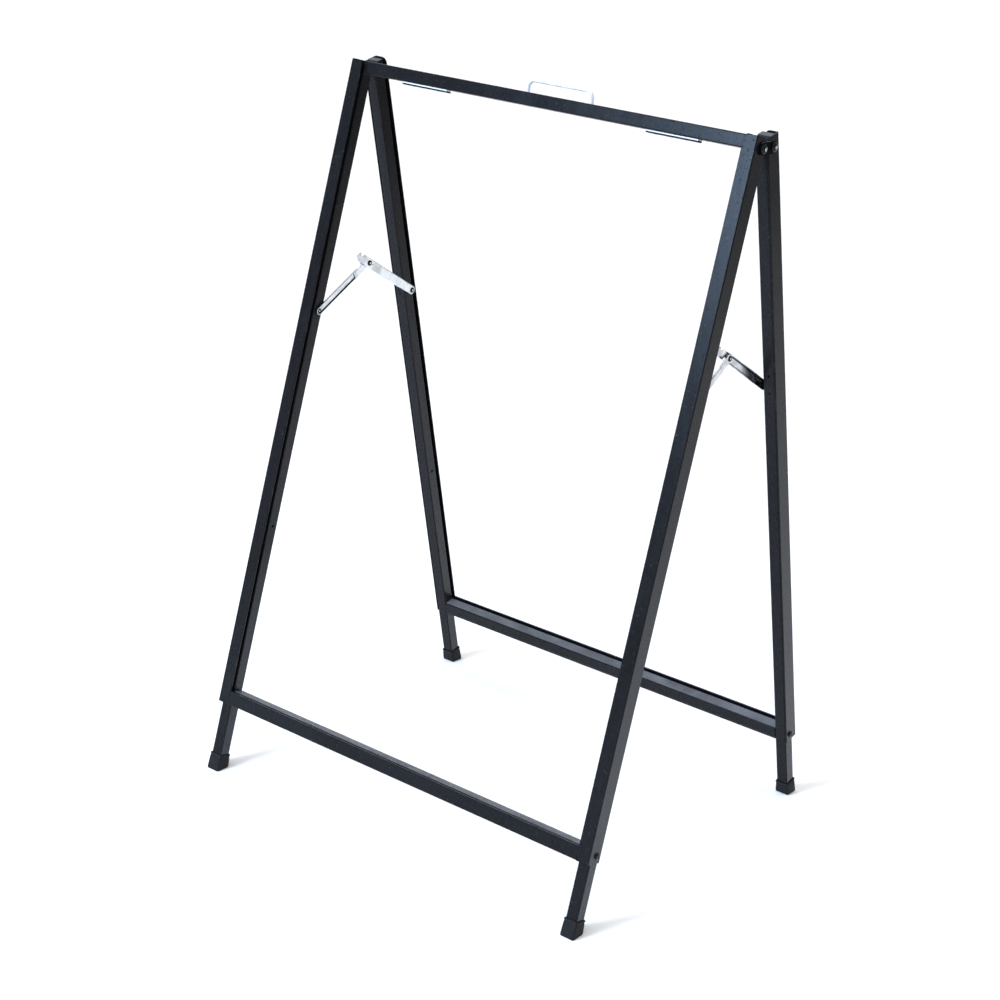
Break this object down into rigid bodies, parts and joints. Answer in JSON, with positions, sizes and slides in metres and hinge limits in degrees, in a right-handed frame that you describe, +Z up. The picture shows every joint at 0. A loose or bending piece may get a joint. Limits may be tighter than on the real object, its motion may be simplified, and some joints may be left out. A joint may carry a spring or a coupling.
{
  "type": "sandwich board",
  "caption": "Folding two-sided sidewalk sign stand: hinged steel frames with slide-in panel slots, locking side stays, rubber feet and a wire carrying handle.",
  "frame": {"origin": "on the floor, centred under the opened stand", "axes": "+X to the sign's right seen from its front, +Y from the front frame to the rear frame, +Z up"},
  "size_m": [0.6114, 0.5024, 0.9195],
  "materials": {
    "black_coat": "satin black powder coat",
    "black_hardware": "black oxide, semi-gloss",
    "zinc": "bright zinc plate",
    "rubber": "matt moulded rubber",
    "nylon": "moulded nylon"
  },
  "bodies": {
    "front_frame": {"front_leg_tube_left": "black_coat", "front_leg_tube_right": "black_coat", "front_slot_angle_left": "black_coat", "front_slot_angle_right": "black_coat", "front_foot_left": "rubber", "front_foot_right": "rubber", "front_bottom_rail": "black_coat", "front_rail_angle": "black_coat", "front_rail_plugs": "nylon", "front_rail_screws": "black_hardware", "front_hinge_bolts": "black_hardware", "front_hinge_inserts": "zinc", "front_top_bar": "black_coat", "front_bar_bumpers": "rubber", "front_stay_rivets": "zinc"},
    "rear_frame": {"rear_leg_tube_left": "black_coat", "rear_leg_tube_right": "black_coat", "rear_slot_angle_left": "black_coat", "rear_slot_angle_right": "black_coat", "rear_foot_left": "rubber", "rear_foot_right": "rubber", "rear_bottom_rail": "black_coat", "rear_rail_angle": "black_coat", "rear_rail_plugs": "nylon", "rear_rail_screws": "black_hardware", "rear_hinge_bolts": "black_hardware", "rear_hinge_inserts": "zinc", "rear_top_bar": "black_coat", "handle_clips": "zinc", "handle_clip_rivets": "zinc"},
    "hinge_links": {"link_plate_left": "black_coat", "link_plate_right": "black_coat"},
    "handle": {"handle_bail": "zinc"},
    "stay_front_left": {"stay_front_arm_left": "zinc", "stay_middle_rivet_left": "zinc"},
    "stay_rear_left": {"stay_rear_arm_left": "zinc", "stay_rear_rivet_left": "zinc"},
    "stay_front_right": {"stay_front_arm_right": "zinc", "stay_middle_rivet_right": "zinc"},
    "stay_rear_right": {"stay_rear_arm_right": "zinc", "stay_rear_rivet_right": "zinc"}
  },
  "joints": [
    {"name": "fold", "type": "hinge", "parent": "front_frame", "child": "hinge_links", "pos_m": [0, -0.01108, 0.89497], "axis": [-1, 0, 0], "range_deg": [0, 14.4]},
    {"name": "rear_fold", "type": "hinge", "parent": "hinge_links", "child": "rear_frame", "pos_m": [0, 0.01108, 0.89497], "axis": [-1, 0, 0], "range_deg": [0, 15.2]},
    {"name": "stay_front_turn_left", "type": "hinge", "parent": "front_frame", "child": "stay_front_left", "pos_m": [-0.28, -0.08768, 0.59665], "axis": [1, 0, 0], "range_deg": [0, 39.5]},
    {"name": "stay_knee_left", "type": "hinge", "parent": "stay_front_left", "child": "stay_rear_left", "pos_m": [-0.28, 0, 0.64715], "axis": [-1, 0, 0], "range_deg": [0, 107.6]},
    {"name": "stay_front_turn_right", "type": "hinge", "parent": "front_frame", "child": "stay_front_right", "pos_m": [0.28, -0.08768, 0.59665], "axis": [1, 0, 0], "range_deg": [0, 39.5]},
    {"name": "stay_knee_right", "type": "hinge", "parent": "stay_front_right", "child": "stay_rear_right", "pos_m": [0.28, 0, 0.64715], "axis": [-1, 0, 0], "range_deg": [0, 107.6]},
    {"name": "handle_tilt", "type": "hinge", "parent": "rear_frame", "child": "handle", "pos_m": [0, 0.01607, 0.89596], "axis": [-1, 0, 0], "range_deg": [-12, 95]}
  ],
  "couplings": [
    {"joint": "rear_fold", "follows": "fold", "ratio": 1},
    {"joint": "stay_front_turn_left", "follows": "fold", "ratio": 2.7341},
    {"joint": "stay_knee_left", "follows": "fold", "ratio": 7.4683},
    {"joint": "stay_front_turn_right", "follows": "fold", "ratio": 2.7341},
    {"joint": "stay_knee_right", "follows": "fold", "ratio": 7.4683}
  ]
}
